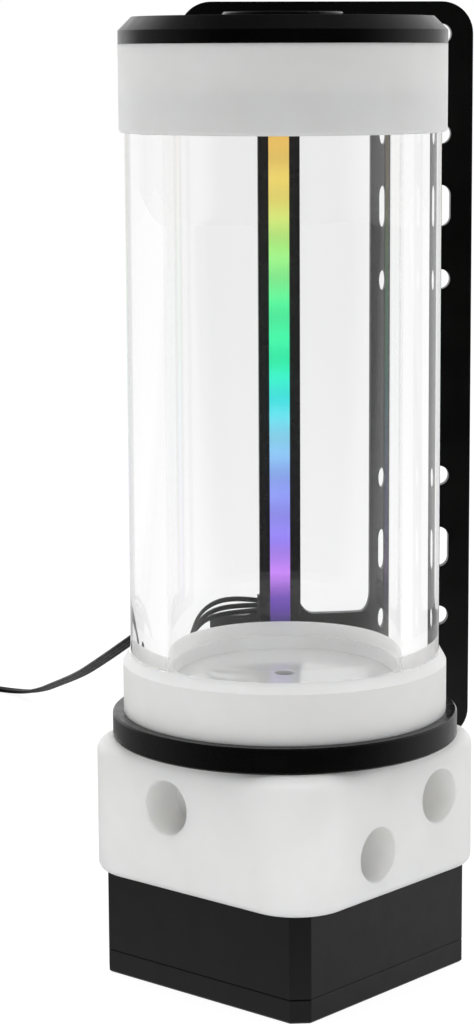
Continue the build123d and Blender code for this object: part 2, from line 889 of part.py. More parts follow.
def make_light_lead():
    points = [Vector(*point) for point in lead_route]
    radii = route_radii(points)
    print("lead arc radii", [round(radius, 1) for radius in radii])
    path = FilletPolyline(*points, radius=radii)
    section = Plane(origin=path @ 0, z_dir=path % 0) * Circle(lead_diameter / 2)
    tube = sweep(section, path=path)
    expected = pi * (lead_diameter / 2) ** 2 * path.length
    print("lead length", round(path.length, 1), "volume share", round(tube.volume / expected, 4))
    return tube


def make_light_lead_coil():
    x, y = lead_coil_centre
    return sleeve(coil_outer_radius, coil_inner_radius, 0, coil_height, x, y)


def connector_middle():
    """The connector lies in the coil, its long side against the turns."""
    x, y = lead_coil_centre
    reach = sqrt(coil_inner_radius ** 2 - (plug_body_length / 2) ** 2)
    return x, y + reach - running_fit - plug_body_width / 2


def make_lead_connector():
    """Flat three-way connector, its contacts open towards +X."""
    x, y = connector_middle()
    body = slab(x - plug_body_length / 2, x + plug_body_length / 2,
                y - plug_body_width / 2, y + plug_body_width / 2,
                plug_floor_gap, plug_floor_gap + plug_body_height)
    body = chamfer(body.edges().filter_by(Axis.X), plug_body_edge)
    for room in connector_boxes(running_fit, plug_pin_recess + overrun):
        body -= room
    return body


def connector_boxes(spare, past):
    """The three contacts, or the room they take in the body."""
    x, y = connector_middle()
    z = plug_floor_gap + plug_body_height / 2
    half = plug_pin_width / 2 + spare
    front = x + plug_body_length / 2 - plug_pin_recess
    for step in (-1, 0, 1):
        middle = y + step * plug_pin_pitch
        yield slab(front - plug_pin_length, front + past,
                   middle - half, middle + half, z - half, z + half)


def make_connector_pins():
    return list(connector_boxes(0, 0))


def write(name, shape):
    """Write one node; a list becomes a group of separate solids."""
    solids = shape if isinstance(shape, list) else [shape]
    flat = []
    for item in solids:
        flat.extend(item.solids())
    group = flat[0] if len(flat) == 1 else Compound(children=flat)
    group.label = name
    export_step(group, f"parts/{name}.step")


def main():
    os.makedirs("parts", exist_ok=True)
    write("base_plate", make_base_plate())
    write("base_screws", make_base_screws())
    write("pump_housing", make_pump_housing())
    write("cable_grommet", make_cable_grommet())
    write("motor_board", make_motor_board())
    write("stator_core", make_stator_core())
    write("stator_coils", make_stator_coils())
    write("rotor_cup", make_rotor_cup())
    write("bearing_pin", make_bearing_pin())
    write("impeller", make_impeller())
    write("rotor_magnet", make_rotor_magnet())
    write("impeller_bush", make_impeller_bush())
    write("cup_seal", make_cup_seal())
    write("pump_block", make_pump_block())
    write("lock_ring", make_lock_ring())
    write("ring_screws", make_ring_screws())
    write("spigot_seal", make_spigot_seal())
    write("lower_collar", make_lower_collar())
    write("lower_tube_seal", make_tube_seal(tube_seal_low()))
    write("glass_tube", make_glass_tube())
    write("upper_tube_seal", make_tube_seal(tube_seal_high()))
    write("upper_collar", make_upper_collar())
    write("cap_seal", make_cap_seal())
    write("top_cap", make_top_cap())
    write("cap_screws", make_cap_screws())
    write("fill_plug", make_fill_plug())
    write("fill_plug_seal", make_plug_seal())
    write("mounting_plate", make_mounting_plate())
    write("block_plate_screws", make_block_plate_screws())
    write("plate_spacers", make_plate_spacers())
    write("collar_plate_screws", make_collar_plate_screws())
    write("light_channel", make_light_channel())
    write("light_board", make_light_board())
    write("light_chips", make_light_chips())
    write("light_diffuser", make_light_diffuser())
    write("light_end_caps", make_light_end_caps())
    write("channel_screws", make_channel_screws())
    write("lead_relief", make_lead_relief())
    write("light_lead", make_light_lead())
    write("light_lead_coil", make_light_lead_coil())
    write("lead_connector", make_lead_connector())
    write("connector_pins", make_connector_pins())


main()
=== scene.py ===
# %% [markdown]
# # Coolant pump and glass reservoir
# A square motor pump carries a clear tube reservoir. Behind the tube stands a black
# plate with a slotted rail and a lit colour bar, and a flat lead runs off to the left.
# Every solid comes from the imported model, in metres, with the origin on the tube's
# axis at the underside of the base. This lesson adds the camera, the loose lead, a
# finely rounded glass tube, the finishes, the light and the floor.

# %% Load the frame
import bpy
import bmesh
from math import atan2, cos, pi, radians, sin
from mathutils import Matrix, Vector


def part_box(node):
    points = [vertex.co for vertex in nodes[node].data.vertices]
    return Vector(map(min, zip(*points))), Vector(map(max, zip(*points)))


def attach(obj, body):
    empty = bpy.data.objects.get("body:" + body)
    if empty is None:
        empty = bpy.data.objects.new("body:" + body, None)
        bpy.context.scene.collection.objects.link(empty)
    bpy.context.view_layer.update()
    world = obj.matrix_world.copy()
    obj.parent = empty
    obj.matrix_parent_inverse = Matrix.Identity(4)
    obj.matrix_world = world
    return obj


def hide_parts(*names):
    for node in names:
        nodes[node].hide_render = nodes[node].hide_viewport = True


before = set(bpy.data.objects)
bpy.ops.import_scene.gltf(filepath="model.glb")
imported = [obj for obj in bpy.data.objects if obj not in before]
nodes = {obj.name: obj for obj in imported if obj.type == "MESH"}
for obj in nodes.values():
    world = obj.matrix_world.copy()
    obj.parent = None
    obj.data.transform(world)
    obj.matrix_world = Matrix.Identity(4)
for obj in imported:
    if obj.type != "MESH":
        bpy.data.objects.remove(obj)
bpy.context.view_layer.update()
scene = bpy.context.scene
MM = 0.001

# %% [markdown]
# ## The camera
# The photograph was taken from the front, a little to the left and a little above,
# with the base close to the lower edge of the picture. Its edges give the distance,
# the two angles and the focal length of a plain pinhole camera. The object stands
# slightly off the optical axis, so a small lens shift puts it where the picture has it.

# %% Camera
CAMERA_DISTANCE = 651.74 * MM
CAMERA_HEIGHT = 222.35 * MM
CAMERA_AZIMUTH = radians(-4.46)
CAMERA_TILT = radians(9.396)
CAMERA_ROLL = -0.0031
IMAGE_HEIGHT = 1024
FOCAL_PIXELS = 2734.37
SHIFT_PIXELS = (-47.28, -3.6)

camera_data = bpy.data.cameras.new("camera")
camera_data.sensor_width = 36.0
camera_data.lens = FOCAL_PIXELS / IMAGE_HEIGHT * camera_data.sensor_width
camera_data.shift_x = SHIFT_PIXELS[0] / IMAGE_HEIGHT
camera_data.shift_y = SHIFT_PIXELS[1] / IMAGE_HEIGHT
camera = bpy.data.objects.new("camera", camera_data)
turn = Matrix.Rotation(CAMERA_AZIMUTH, 4, "Z")
tilt = Matrix.Rotation(pi / 2 - CAMERA_TILT, 4, "X")
roll = Matrix.Rotation(CAMERA_ROLL, 4, "Z")
place = Vector((CAMERA_DISTANCE * sin(CAMERA_AZIMUTH),
                -CAMERA_DISTANCE * cos(CAMERA_AZIMUTH), CAMERA_HEIGHT))
camera.matrix_world = Matrix.Translation(place) @ turn @ tilt @ roll
scene.collection.objects.link(camera)
scene.camera = camera
print("lens", round(camera_data.lens, 1), "mm")

# %% [markdown]
# ## The lead's line
# The bar's lead leaves the channel's side, arches a little, falls behind the object
# and settles on the floor, where its spare length lies in a small round coil. A
# smooth NURBS line through listed points gives the soft curve that a flat
# three-wire lead takes. Bends made from arcs would look like stiff wire. The coil is
# worked out by a loop, with each turn lying on the one below, and the line ends the
# third time that it comes round to the connector.

# %% Points of the lead
LEAD_WIDTH = 3.9 * MM
STRAND_RADIUS = 0.65 * MM
STRAND_PITCH = 1.3 * MM
FLOOR_LIFT = 0.75 * MM
LINE_STEPS = 10
route = [(-5.4, 41.95, 83.5), (-14.5, 41.95, 83.5), (-24.0, 41.2, 81.6), (-31.5, 46.5, 76.2),
         (-36.4, 59.5, 69.8), (-40.6, 78.0, 62.6), (-44.6, 104.0, 54.0), (-48.6, 140.0, 43.2),
         (-53.0, 184.0, 31.2), (-57.6, 229.0, 19.2), (-62.4, 268.0, 8.4), (-69.5, 296.0, 1.0),
         (-87.0, 309.5, 0.75), (-108.0, 311.7, 0.75)]
lead_points = [Vector(point) * MM for point in route]

# %% Turns of the coil
coil_low, coil_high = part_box("light_lead_coil")
plug_low, plug_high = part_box("lead_connector")
coil_centre = (coil_low + coil_high) / 2
plug_middle = (plug_low + plug_high) / 2
plug_entry = Vector((plug_low.x, plug_middle.y, plug_middle.z))
TURN_RADIUS = 22.4 * MM
TURN_RISE = 1.42 * MM
TURN_STEP = radians(20)
PLUG_PASSES = 3
SETTLE_ANGLE = radians(70)
LEAVE_ANGLE = radians(75)
LEAVE_CURVES = (1.5, 3)
PLUG_STRAIGHT = 3.0 * MM
entry_radius = (lead_points[-1] - coil_centre).xy.length
entry_angle = -pi / 2
towards_plug = plug_entry - coil_centre
plug_angle = atan2(towards_plug.y, towards_plug.x)
sweep = entry_angle + 2 * pi * PLUG_PASSES - plug_angle
steps = round(sweep / TURN_STEP)
for step in range(1, steps):
    swept = sweep * step / steps
    radius = TURN_RADIUS + (entry_radius - TURN_RADIUS) * max(0, 1 - swept / SETTLE_ANGLE) ** 2
    height = FLOOR_LIFT + TURN_RISE * swept / (2 * pi)
    near = max(0, 1 - (sweep - swept) / LEAVE_ANGLE)
    radius += (towards_plug.xy.length - TURN_RADIUS) * near ** LEAVE_CURVES[0]
    height += (plug_entry.z - height) * near ** LEAVE_CURVES[1]
    angle = entry_angle - swept
    lead_points.append(Vector((coil_centre.x + radius * cos(angle),
                               coil_centre.y + radius * sin(angle), height)))
lead_points.append(plug_entry - Vector((PLUG_STRAIGHT, 0, 0)))
lead_points.append(plug_entry)
print("points", len(lead_points), "turns", round(sweep / (2 * pi), 2))


# %% The smooth line through them
def smooth_line(name, points, resolution):
    """Evaluates a NURBS spline and returns its points in order."""
    curve = bpy.data.curves.new(name, "CURVE")
    curve.dimensions = "3D"
    spline = curve.splines.new("NURBS")
    spline.points.add(len(points) - 1)
    for target, point in zip(spline.points, points):
        target.co = (*point, 1)
    spline.order_u = 3
    spline.use_endpoint_u = True
    spline.resolution_u = resolution
    holder = bpy.data.objects.new(name, curve)
    scene.collection.objects.link(holder)
    line_mesh = bpy.data.meshes.new_from_object(
        holder.evaluated_get(bpy.context.evaluated_depsgraph_get()))
    line = [vertex.co.copy() for vertex in line_mesh.vertices]
    bpy.data.objects.remove(holder)
    return line


lead_line = smooth_line("lead_line", lead_points, LINE_STEPS)

# %% [markdown]
# ## The lead itself
# Three insulated wires lie side by side, bonded along most of the way. Near the bar
# they part and arch one above the other, as a lead does when its end is split for
# soldering. Each strand is a tube whose rings follow the line, set off sideways from
# it. The sideways direction stays level, so the lead lies flat on the floor.


# %% Strand tubes
def tube_along(mesh, line, radius, sides=10):
    """Adds a closed round tube along a line to a bmesh."""
    rings = []
    for index, point in enumerate(line):
        ahead = line[min(index + 1, len(line) - 1)]
        behind = line[max(index - 1, 0)]
        along = (ahead - behind).normalized()
        across = along.cross(Vector((0, 0, 1))).normalized()
        up = across.cross(along)
        rings.append([mesh.verts.new(point + radius * (cos(2 * pi * k / sides) * across
                                                       + sin(2 * pi * k / sides) * up))
                      for k in range(sides)])
    for one, two in zip(rings, rings[1:]):
        for k in range(sides):
            mesh.faces.new((one[k], one[(k + 1) % sides], two[(k + 1) % sides], two[k]))
    mesh.faces.new(reversed(rings[0]))
    mesh.faces.new(rings[-1])


def shade_smooth(mesh, angle=radians(35)):
    """Smooth shading that keeps edges sharper than the angle."""
    for face in mesh.faces:
        face.smooth = True
    for edge in mesh.edges:
        edge.smooth = len(edge.link_faces) < 2 or edge.calc_face_angle(0) < angle


def new_piece(name, mesh, body="frame"):
    """Turns a bmesh into a named object that rides on a body."""
    bmesh.ops.recalc_face_normals(mesh, faces=mesh.faces)
    shade_smooth(mesh)
    data = bpy.data.meshes.new(name)
    mesh.to_mesh(data)
    mesh.free()
    piece = bpy.data.objects.new(name, data)
    scene.collection.objects.link(piece)
    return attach(piece, body)


SPLIT_LENGTH = 30 * MM
SPLIT_LIFTS = (1.5 * MM, 0.1 * MM, -0.9 * MM)
distances = [0.0]
for a, b in zip(lead_line, lead_line[1:]):
    distances.append(distances[-1] + (b - a).length)
strands = bmesh.new()
for strand, lift in zip((-1, 0, 1), SPLIT_LIFTS):
    line = []
    for index, point in enumerate(lead_line):
        ahead = lead_line[min(index + 1, len(lead_line) - 1)]
        behind = lead_line[max(index - 1, 0)]
        across = (ahead - behind).cross(Vector((0, 0, 1))).normalized()
        share = min(distances[index] / SPLIT_LENGTH, 1)
        arch = lift * sin(pi * share) if share < 1 else 0
        stacked = -STRAND_PITCH * strand * (1 - share)
        line.append(point + across * STRAND_PITCH * strand * share
                    + Vector((0, 0, arch + stacked)))
    tube_along(strands, line, STRAND_RADIUS)
lead = new_piece("flat_lead", strands)
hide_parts("light_lead", "light_lead_coil")
print("lead faces", len(lead.data.polygons))

# %% [markdown]
# ## The coil's tie
# A small soft band keeps the spare turns together. It is a flat strip bent into a
# closed loop round the bundle. A cloth simulation could wrap it, but four rounded
# rectangles, two inside and two outside, joined by faces give the same short sleeve.

# %% Tie
TIE_WIDTH = 4.0 * MM
TIE_WALL = 0.6 * MM
TIE_SLACK = 0.15 * MM
TIE_INSET = 0.05 * MM
TIE_STEPS = 24
TIE_SQUARENESS = 4
TIE_ANGLE = radians(200)
bundle_half = (LEAD_WIDTH / 2 + TIE_SLACK, (coil_high.z - coil_low.z) / 2 - TIE_WALL)
tie = bmesh.new()
out = Vector((cos(TIE_ANGLE), sin(TIE_ANGLE), 0))
side = Vector((-sin(TIE_ANGLE), cos(TIE_ANGLE), 0))
tie_middle = coil_centre + out * TURN_RADIUS
loops = []
for along, grow in ((-1, 0), (-1, 1), (1, 1), (1, 0)):
    loop = []
    for k in range(TIE_STEPS):
        angle = 2 * pi * k / TIE_STEPS
        square = (abs(cos(angle)) ** TIE_SQUARENESS
                  + abs(sin(angle)) ** TIE_SQUARENESS) ** (-1 / TIE_SQUARENESS)
        wide = (bundle_half[0] + grow * TIE_WALL) * square * cos(angle)
        high = (bundle_half[1] + grow * (TIE_WALL - TIE_INSET)) * square * sin(angle)
        loop.append(tie.verts.new(tie_middle + out * wide + Vector((0, 0, high))
                                  + side * along * TIE_WIDTH / 2))
    loops.append(loop)
for one, two in zip(loops, loops[1:] + loops[:1]):
    for k in range(TIE_STEPS):
        after = (k + 1) % TIE_STEPS
        tie.faces.new((one[k], one[after], two[after], two[k]))
coil_tie = new_piece("coil_tie", tie)
print("tie height in mm", round(coil_tie.dimensions.z / MM, 2))

# %% [markdown]
# ## The glass tube
# The tube is a stock borosilicate tube, drawn to size, with its ends ground and
# their edges broken. Clear glass shows every facet of a coarse mesh as a kink in
# what is seen through it, so the tube is turned again here from its own profile with
# many more steps. It takes its outer radius and heights from the imported tube, and
# its wall thickness is given.

# %% Turned profile
TUBE_STEPS = 256
TUBE_WALL = 9.0 * MM
TUBE_EDGE = 0.5 * MM
tube_low, tube_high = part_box("glass_tube")
tube_outer = tube_high.x
tube_inner = tube_outer - TUBE_WALL


def turned(profile, steps):
    """Spins a closed profile of (radius, height) points about the Z axis."""
    mesh = bmesh.new()
    turns = [(cos(2 * pi * k / steps), sin(2 * pi * k / steps)) for k in range(steps)]
    rings = [[mesh.verts.new((radius * x, radius * y, z)) for x, y in turns]
             for radius, z in profile]
    for one, two in zip(rings, rings[1:] + rings[:1]):
        for k in range(steps):
            mesh.faces.new((one[k], one[(k + 1) % steps], two[(k + 1) % steps], two[k]))
    return mesh


tube_profile = [(tube_inner, tube_low.z + TUBE_EDGE), (tube_inner + TUBE_EDGE, tube_low.z),
                (tube_outer - TUBE_EDGE, tube_low.z), (tube_outer, tube_low.z + TUBE_EDGE),
                (tube_outer, tube_high.z - TUBE_EDGE), (tube_outer - TUBE_EDGE, tube_high.z),
                (tube_inner + TUBE_EDGE, tube_high.z), (tube_inner, tube_high.z - TUBE_EDGE)]
tube = new_piece("glass_tube_ground", turned(tube_profile, TUBE_STEPS))
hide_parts("glass_tube")
print("tube outside in mm", round(2 * tube_outer / MM, 1), "bore", round(2 * tube_inner / MM, 1))

# %% [markdown]
# ## Helpers for the finishes
# Colours are written as sRGB hex values, as a colour picker shows them, and one
# function turns them to the linear values that the shader wants. A second function
# adds a node with its values, links and settings. Pattern sizes are real sizes in
# millimetres on the object, so a scale is one over that size in metres.


# %% Colour, nodes and a new finish
def linear(hex_colour):
    parts = [int(hex_colour[place:place + 2], 16) / 255 for place in (1, 3, 5)]
    return (*[c / 12.92 if c <= 0.04045 else ((c + 0.055) / 1.055) ** 2.4 for c in parts], 1.0)


def add(tree, kind, values=None, links=None, **settings):
    """Adds one node with its settings, its own socket values and its links.

    A link starts at a socket, or at the first output of a node."""
    node = tree.nodes.new(kind)
    for name, value in settings.items():
        setattr(node, name, value)
    for name, value in (values or {}).items():
        node.inputs[name].default_value = value
    for name, source in (links or {}).items():
        socket = source.outputs[0] if isinstance(source, bpy.types.Node) else source
        tree.links.new(socket, node.inputs[name])
    return node


def new_finish(name):
    """An empty material, its tree, its coordinates in metres and its shader."""
    finish = bpy.data.materials.new(name)
    finish.use_nodes = True
    tree = finish.node_tree
    tree.nodes.clear()
    place = add(tree, "ShaderNodeTexCoord")
    shader = add(tree, "ShaderNodeBsdfPrincipled")
    add(tree, "ShaderNodeOutputMaterial", links={"Surface": shader.outputs["BSDF"]})
    return finish, tree, place.outputs["Object"], shader


def size_mm(size):
    """The texture scale at which a pattern repeats about every so many millimetres."""
    return 1 / (size * MM)


finishes = {}
print("white is", linear("#FFFFFF"))

# %% [markdown]
# ## Shared layers
# Three things recur: a fine grain that breaks up the highlight, as blasting, moulding
# or machining leaves, a slow change of colour or roughness, as handling and uneven
# dye leave, and even bands, as a cutter or a winding leaves. Grain and change are
# noises of a real size. Grain and bands bend the normal through a bump node whose
# depth is a real depth. The wave texture repeats every 0.314 over its scale.


# %% Grain, drift and bands
WAVE_REPEAT = 0.314


def grain(tree, place, size, depth, strength=1.0, detail=3.0):
    """Returns a normal that is roughened by grains of a size and depth in millimetres."""
    noise = add(tree, "ShaderNodeTexNoise", {"Scale": size_mm(size), "Detail": detail},
                {"Vector": place})
    bump = add(tree, "ShaderNodeBump", {"Strength": strength, "Distance": depth * MM},
               {"Height": noise.outputs["Fac"]})
    return bump


def drift(tree, place, size, low, high):
    """Returns a value that wanders between low and high over a size in millimetres."""
    noise = add(tree, "ShaderNodeTexNoise", {"Scale": size_mm(size), "Detail": 2.0},
                {"Vector": place})
    spread = add(tree, "ShaderNodeMapRange",
                 {"From Min": 0.3, "From Max": 0.7, "To Min": low, "To Max": high},
                 {"Value": noise.outputs["Fac"]})
    return spread.outputs["Result"]


def tinted(tree, place, size, colour_one, colour_two):
    """Returns a colour that wanders between two hex colours over a size in millimetres."""
    share = drift(tree, place, size, 0.0, 1.0)
    mix = add(tree, "ShaderNodeMix", links={"Factor": share}, data_type="RGBA")
    mix.inputs["A"].default_value = linear(colour_one)
    mix.inputs["B"].default_value = linear(colour_two)
    return mix.outputs["Result"]


def banded(tree, place, under, size, distortion, strength, depth):
    """Adds bands along the axis, a size in millimetres apart, to another bump."""
    wave = add(tree, "ShaderNodeTexWave",
               {"Scale": WAVE_REPEAT * size_mm(size), "Distortion": distortion},
               {"Vector": place}, wave_type="BANDS", bands_direction="Z")
    return add(tree, "ShaderNodeBump", {"Strength": strength, "Distance": depth * MM},
               {"Height": wave.outputs["Fac"], "Normal": under.outputs["Normal"]})


def set_values(shader, **values):
    """Sets the shader's own sockets, with spaces for underscores in their names."""
    for name, value in values.items():
        shader.inputs[name.replace("_", " ")].default_value = value


print("layers ready")

# %% [markdown]
# ## Opal acetal
# The block and both collars are milled and turned from opal acetal, a white
# engineering plastic with a waxy, slightly see-through surface. Light enters, spreads
# a few millimetres and comes out again, so edges glow and shadows are soft. A high
# subsurface share does this, and it reaches less far in the turned collars. Their
# cutter leaves lines 0.05 mm apart, too fine to show here, so they are drawn at 0.4 mm
# and very shallow. The reservoir's floor is turned smooth enough to mirror the bar.
# The thin rim round the tube lets daylight soak through into the tube's socket, where
# the renderer would leave it dark, so the socket band gets a painted glow, a faint
# emission that stands in for that light.


# %% Opal acetal, milled and turned
WELL_LEVEL = 74.6 * MM
WELL_RADIUS = 27.6 * MM
WELL_BAND = 0.2 * MM
WELL_ROUGHNESS = 0.03
SOCKET_PAINTED_GLOW = 0.2
SOCKET_SPARE = (0.3 * MM, 0.1 * MM)
TOOL_MARKS = 0.4
collar_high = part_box("lower_collar")[1]
socket_level = (tube_low.z + collar_high.z) / 2
socket_half_height = (collar_high.z - tube_low.z) / 2 + SOCKET_SPARE[1]
socket_radius = (tube_outer + tube_inner) / 2
socket_half_width = TUBE_WALL / 2 + SOCKET_SPARE[0]


def opal_acetal(name, glow_depth, turned_marks):
    finish, tree, place, shader = new_finish(name)
    tree.links.new(tinted(tree, place, 14, "#F1F1EF", "#F6F6F5"), shader.inputs["Base Color"])
    rough = drift(tree, place, 6, 0.38, 0.5)
    bump = grain(tree, place, 0.5, 0.01, 0.5)
    if turned_marks:
        axes = add(tree, "ShaderNodeSeparateXYZ", links={"Vector": place})
        flat = add(tree, "ShaderNodeVectorMath", {1: (1, 1, 0)}, {0: place}, operation="MULTIPLY")
        reach = add(tree, "ShaderNodeVectorMath", links={0: flat}, operation="LENGTH")
        reach = reach.outputs["Value"]
        masks = []
        for level, half_height, widths, operation in (
                (WELL_LEVEL, WELL_BAND, {1: WELL_RADIUS}, "LESS_THAN"),
                (socket_level, socket_half_height, {1: socket_radius, 2: socket_half_width},
                 "COMPARE")):
            in_height = add(tree, "ShaderNodeMath", {1: level, 2: half_height},
                            {0: axes.outputs["Z"]}, operation="COMPARE")
            in_width = add(tree, "ShaderNodeMath", widths, {0: reach}, operation=operation)
            masks.append(add(tree, "ShaderNodeMath", links={0: in_height, 1: in_width},
                             operation="MULTIPLY"))
        in_well, in_socket = masks
        polish = add(tree, "ShaderNodeMix", {"B": WELL_ROUGHNESS},
                     {"Factor": in_well, "A": rough}, data_type="FLOAT")
        rough = polish.outputs["Result"]
        # painted glow: the socket band emits a little light in place of daylight through the rim
        painted_socket_glow = add(tree, "ShaderNodeMath", {1: SOCKET_PAINTED_GLOW}, {0: in_socket},
                     operation="MULTIPLY")
        tree.links.new(painted_socket_glow.outputs["Value"], shader.inputs["Emission Strength"])
        bump = banded(tree, place, bump, TOOL_MARKS, 0.4, 0.12, 0.01)
    tree.links.new(rough, shader.inputs["Roughness"])
    tree.links.new(bump.outputs["Normal"], shader.inputs["Normal"])
    set_values(shader, IOR=1.48, Subsurface_Weight=0.85, Subsurface_Scale=glow_depth * MM,
               Subsurface_Radius=(1.0, 0.97, 0.92))
    finishes[name] = finish


opal_acetal("opal_acetal_milled", 8, False)
opal_acetal("opal_acetal_turned", 2, True)
print(sorted(finishes))

# %% [markdown]
# ## Black anodised aluminium
# The base, the housing, the ring, the cap and the light channel are aluminium,
# blasted or turned and then dyed black in a clear oxide layer. What the eye meets is
# the oxide: deep black, a dielectric gloss of medium roughness, and a fine even
# grain. Sharp edges are broken before the blasting, and the bevel node rounds them to
# the eye, so that a thin highlight runs along them. The bead marks of 0.1 mm are drawn
# at 0.3 mm. The turned pieces look blacker and sharper, so they take a lower index
# and less roughness.


# %% Anodised aluminium
EDGE_BREAK = 0.25 * MM


def black_anodised(name, colour_one, colour_two, rough_low, rough_high, ior, grain_size,
                   grain_depth):
    finish, tree, place, shader = new_finish(name)
    tree.links.new(tinted(tree, place, 18, colour_one, colour_two), shader.inputs["Base Color"])
    tree.links.new(drift(tree, place, 5, rough_low, rough_high), shader.inputs["Roughness"])
    bump = grain(tree, place, grain_size, grain_depth, 0.6)
    soft_edge = add(tree, "ShaderNodeBevel", {"Radius": EDGE_BREAK}, samples=4)
    tree.links.new(soft_edge.outputs["Normal"], bump.inputs["Normal"])
    tree.links.new(bump.outputs["Normal"], shader.inputs["Normal"])
    set_values(shader, IOR=ior)
    finishes[name] = finish


black_anodised("anodised_blasted", "#0B0A0A", "#0F0E0E", 0.34, 0.44, 1.5, 0.3, 0.012)
black_anodised("anodised_turned", "#060505", "#0A0909", 0.2, 0.3, 1.36, 0.6, 0.004)
print(sorted(finishes))

# %% [markdown]
# ## Black coat of the plate
# The plate is cut from steel sheet and powder coated in a satin black. Powder
# melts into a skin with a very slight orange peel, about 1 mm from crest to crest
# and a few micrometres deep, which makes reflections waver.

# %% Powder coat
finish, tree, place, shader = new_finish("powder_coat_black")
tree.links.new(tinted(tree, place, 25, "#090909", "#0D0D0C"), shader.inputs["Base Color"])
tree.links.new(drift(tree, place, 8, 0.32, 0.4), shader.inputs["Roughness"])
tree.links.new(grain(tree, place, 1.1, 0.012, 0.5).outputs["Normal"], shader.inputs["Normal"])
set_values(shader, IOR=1.5)
finishes["powder_coat_black"] = finish
print(sorted(finishes))

# %% [markdown]
# ## Borosilicate glass
# Clear borosilicate has an index of 1.47 and almost no colour. Over a long way
# through the wall, as along the tube's outline, it turns a trace grey, so the tube
# is filled with a very thin absorbing volume. A very slow waver in the drawn wall
# keeps the mirrored edges from being dead straight. A glass shader alone would cast
# the shadow of a solid body, so shadow rays pass straight through.

# %% Glass
finish = bpy.data.materials.new("borosilicate_clear")
finish.use_nodes = True
tree = finish.node_tree
tree.nodes.clear()
place = add(tree, "ShaderNodeTexCoord").outputs["Object"]
shader = add(tree, "ShaderNodeBsdfPrincipled")
set_values(shader, IOR=1.47, Transmission_Weight=1.0, Roughness=0.0)
shader.inputs["Base Color"].default_value = linear("#FCFCFC")
tree.links.new(grain(tree, place, 40, 0.01, 0.3, 0.0).outputs["Normal"], shader.inputs["Normal"])
passing = add(tree, "ShaderNodeBsdfTransparent", {"Color": linear("#FFFFFF")})
rays = add(tree, "ShaderNodeLightPath")
mix = add(tree, "ShaderNodeMixShader",
          links={"Fac": rays.outputs["Is Shadow Ray"], 1: shader, 2: passing})
haze = add(tree, "ShaderNodeVolumeAbsorption", {"Color": linear("#E4E7E6"), "Density": 1.0})
add(tree, "ShaderNodeOutputMaterial", links={"Surface": mix, "Volume": haze})
finishes["borosilicate_clear"] = finish
print(sorted(finishes))

# %% [markdown]
# ## The lit colour bar
# Behind the tube a strip of lights shines through a frosted acrylic lens. The lamps
# run through the rainbow from amber at the top over green and blue to orchid, fading
# to a dark violet at the foot, and each one shows as a slightly brighter patch. The
# colour is a ramp along the height with one stop for each colour that the eye names,
# and the patches are a soft ripple with the lamps' spacing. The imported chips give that
# spacing, as each is half as long as its distance to the next. Both go to the emission
# of a frosted plastic.

# %% Diffuser
CHIP_COUNT = 13
CHIP_SHARE = 0.5
strip_low, strip_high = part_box("light_diffuser")
chips_low, chips_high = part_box("light_chips")
bar_colours = [
    (0.00, "#3A2A68"), (0.05, "#6C40B8"), (0.10, "#CC88FA"), (0.16, "#9A84FA"),
    (0.27, "#90A4FA"), (0.36, "#8CDCFA"), (0.43, "#3CF0F0"), (0.50, "#28FCB4"),
    (0.61, "#50FCA0"), (0.72, "#B0F884"), (0.81, "#F0E070"), (0.90, "#F0C864"),
    (1.00, "#D08C40")]
finish, tree, place, shader = new_finish("lit_diffuser")
axes = add(tree, "ShaderNodeSeparateXYZ", links={"Vector": place})
share = add(tree, "ShaderNodeMapRange",
            {"From Min": strip_low.z, "From Max": strip_high.z}, {"Value": axes.outputs["Z"]})
ramp = add(tree, "ShaderNodeValToRGB", links={"Fac": share.outputs["Result"]})
for index, (spot, colour) in enumerate(bar_colours):
    stop = (ramp.color_ramp.elements[0] if index == 0
            else ramp.color_ramp.elements.new(spot) if index < len(bar_colours) - 1
            else ramp.color_ramp.elements[-1])
    stop.position = spot
    stop.color = linear(colour)
chip_pitch = (chips_high.z - chips_low.z) / (CHIP_COUNT - 1 + CHIP_SHARE)
phase = add(tree, "ShaderNodeMath", {1: 2 * pi / chip_pitch}, {0: axes.outputs["Z"]},
            operation="MULTIPLY")
wave = add(tree, "ShaderNodeMath", links={0: phase}, operation="SINE")
ripple = add(tree, "ShaderNodeMapRange",
             {"From Min": -1.0, "From Max": 1.0, "To Min": 1.0, "To Max": 1.14}, {"Value": wave})
tree.links.new(ramp.outputs["Color"], shader.inputs["Emission Color"])
tree.links.new(ripple.outputs["Result"], shader.inputs["Emission Strength"])
tree.links.new(grain(tree, place, 0.3, 0.01, 0.4).outputs["Normal"], shader.inputs["Normal"])
set_values(shader, IOR=1.49, Roughness=0.55)
shader.inputs["Base Color"].default_value = linear("#3C3C40")
finishes["lit_diffuser"] = finish
print("chip pitch in mm", round(chip_pitch / MM, 2))

# %% [markdown]
# ## Rubber, moulded plastics, cable skin and ceramics
# Seals and bushes are moulded rubber, dull and slightly dusty. The rotor cup and the
# impeller are moulded from filled plastic with a soft sheen, the bar's end caps from
# black acetal and the connector from nylon. The lead has a smooth PVC skin that shows
# a thin highlight along each wire. The pin, the bush, the magnet and the chips are
# fired or cast, and the coil's tie is a soft grey strip. All of them differ only in
# colour, sheen and grain, so one function makes them. Each has the index that is
# typical for it, apart from the lead's skin, whose index is lowered until the wires
# look as black as they are.


# %% Rubber, plastics and ceramics
def moulded(name, colour_one, colour_two, rough_low, rough_high, ior, grain_size, grain_depth):
    finish, tree, place, shader = new_finish(name)
    tree.links.new(tinted(tree, place, 9, colour_one, colour_two), shader.inputs["Base Color"])
    tree.links.new(drift(tree, place, 3, rough_low, rough_high), shader.inputs["Roughness"])
    bump = grain(tree, place, grain_size, grain_depth, 0.5)
    tree.links.new(bump.outputs["Normal"], shader.inputs["Normal"])
    set_values(shader, IOR=ior)
    finishes[name] = finish


